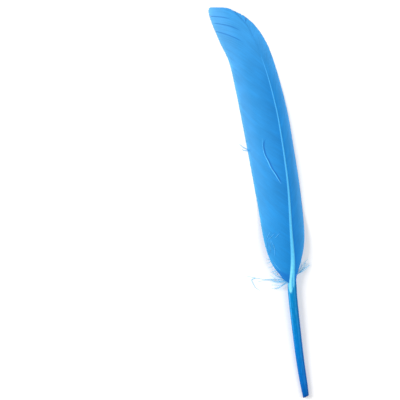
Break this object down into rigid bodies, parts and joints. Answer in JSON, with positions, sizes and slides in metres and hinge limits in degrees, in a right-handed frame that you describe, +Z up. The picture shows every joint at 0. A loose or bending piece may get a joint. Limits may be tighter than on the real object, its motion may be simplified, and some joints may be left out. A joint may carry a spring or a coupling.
{
  "type": "goose quill feather",
  "caption": "Dyed goose quill feather lying flat: bare quill, slender shaft, a wide and a narrow vane of close barbs, and a tuft of loose down where they begin.",
  "frame": {"origin": "on the surface that the feather lies on, under the middle of its bounding box", "axes": "+Y along the feather from the end of the quill to the tip, +X towards the narrow vane, +Z up out of the surface, on the upper side of the feather"},
  "size_m": [0.029, 0.1506, 0.0042],
  "materials": {
    "vane": "satin, dyed blue",
    "quill": "smooth, slightly see-through horn"
  },
  "bodies": {
    "root": {"feather": "vane"}
  },
  "joints": []
}
